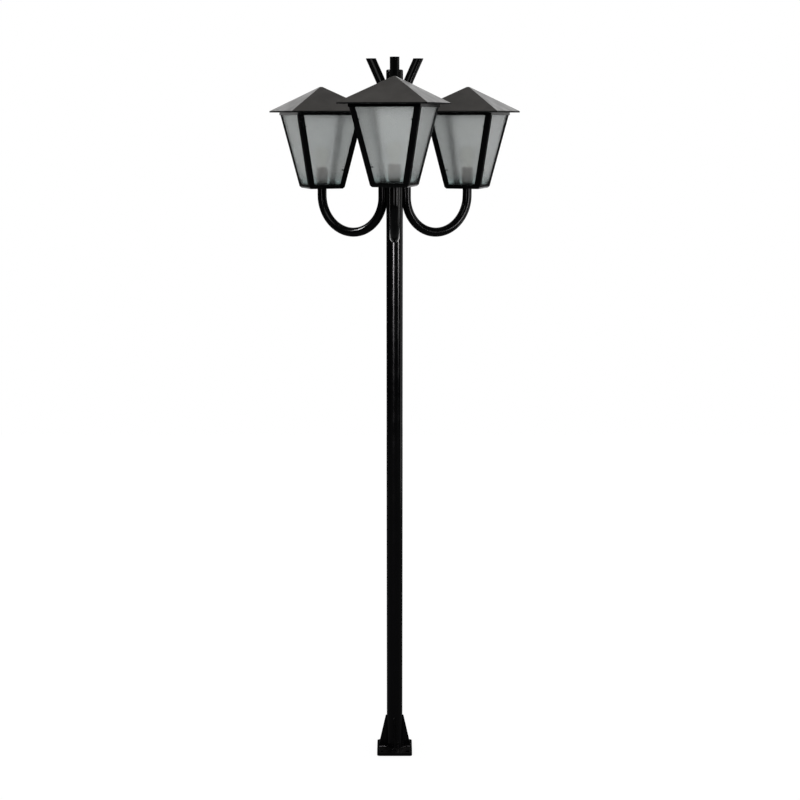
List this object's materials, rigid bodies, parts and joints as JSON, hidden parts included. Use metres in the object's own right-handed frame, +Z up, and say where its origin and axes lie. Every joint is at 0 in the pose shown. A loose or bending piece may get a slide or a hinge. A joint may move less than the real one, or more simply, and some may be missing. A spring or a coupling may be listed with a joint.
{
  "type": "triple head lamp post",
  "caption": "Flanged steel garden lamp post with bent tube arms that carry four-sided frosted lanterns under pyramid roofs.",
  "frame": {"origin": "on the ground, under the middle of the base plate, on the post's axis", "axes": "+Z up along the post; the front arm and lantern point along -Y, towards the picture's camera; +X to the picture's right"},
  "size_m": [0.9326, 0.855, 2.612],
  "materials": {
    "post_paint": "gloss black enamel on steel tube",
    "lantern_paint": "semi gloss black paint on folded sheet",
    "roof_paint": "matt dark grey paint on sheet",
    "frosted_glass": "frosted, satin etched",
    "opal_glass": "opal white lamp glass",
    "porcelain": null,
    "brass": "plain sheet brass",
    "cap_metal": "rolled thread",
    "zinc_steel": "zinc plated"
  },
  "bodies": {
    "post": {"base_plate": "post_paint", "base_gussets": "post_paint", "pole_tube": "post_paint", "pole_cap": "post_paint", "arm_end_caps": "post_paint", "arm_welds": "post_paint", "threaded_nipples": "zinc_steel", "lock_nuts": "zinc_steel", "front_arm": "post_paint", "front_stem_plug": "post_paint", "front_bottom_tray": "lantern_paint", "front_corner_posts": "lantern_paint", "front_top_frame": "lantern_paint", "front_pane_clips": "lantern_paint", "front_holder_plinth": "lantern_paint", "front_lamp_holder": "porcelain", "front_contact_shell": "brass", "front_pane_front": "frosted_glass", "front_pane_back": "frosted_glass", "front_pane_right": "frosted_glass", "front_pane_left": "frosted_glass", "right_arm": "post_paint", "right_stem_plug": "post_paint", "right_bottom_tray": "lantern_paint", "right_corner_posts": "lantern_paint", "right_top_frame": "lantern_paint", "right_pane_clips": "lantern_paint", "right_holder_plinth": "lantern_paint", "right_lamp_holder": "porcelain", "right_contact_shell": "brass", "right_pane_front": "frosted_glass", "right_pane_back": "frosted_glass", "right_pane_right": "frosted_glass", "right_pane_left": "frosted_glass", "left_arm": "post_paint", "left_stem_plug": "post_paint", "left_bottom_tray": "lantern_paint", "left_corner_posts": "lantern_paint", "left_top_frame": "lantern_paint", "left_pane_clips": "lantern_paint", "left_holder_plinth": "lantern_paint", "left_lamp_holder": "porcelain", "left_contact_shell": "brass", "left_pane_front": "frosted_glass", "left_pane_back": "frosted_glass", "left_pane_right": "frosted_glass", "left_pane_left": "frosted_glass"},
    "front_roof": {"front_roof": "roof_paint", "front_roof_collar": "lantern_paint"},
    "front_lamp": {"front_lamp_cap": "cap_metal", "front_lamp_glass": "opal_glass"},
    "right_roof": {"right_roof": "roof_paint", "right_roof_collar": "lantern_paint"},
    "right_lamp": {"right_lamp_cap": "cap_metal", "right_lamp_glass": "opal_glass"},
    "left_roof": {"left_roof": "roof_paint", "left_roof_collar": "lantern_paint"},
    "left_lamp": {"left_lamp_cap": "cap_metal", "left_lamp_glass": "opal_glass"}
  },
  "joints": [
    {"name": "front_roof_lift", "type": "slide", "parent": "post", "child": "front_roof", "axis": [0, 0, 1], "range_m": [0, 0.11]},
    {"name": "front_lamp_turn", "type": "hinge", "parent": "post", "child": "front_lamp", "pos_m": [0, -0.31, 2.2756], "axis": [0, 0, 1], "range_deg": [0, 360]},
    {"name": "right_roof_lift", "type": "slide", "parent": "post", "child": "right_roof", "axis": [0, 0, 1], "range_m": [0, 0.11]},
    {"name": "right_lamp_turn", "type": "hinge", "parent": "post", "child": "right_lamp", "pos_m": [0.26847, 0.155, 2.2506], "axis": [0, 0, 1], "range_deg": [0, 360]},
    {"name": "left_roof_lift", "type": "slide", "parent": "post", "child": "left_roof", "axis": [0, 0, 1], "range_m": [0, 0.11]},
    {"name": "left_lamp_turn", "type": "hinge", "parent": "post", "child": "left_lamp", "pos_m": [-0.26847, 0.155, 2.2506], "axis": [0, 0, 1], "range_deg": [0, 360]}
  ]
}
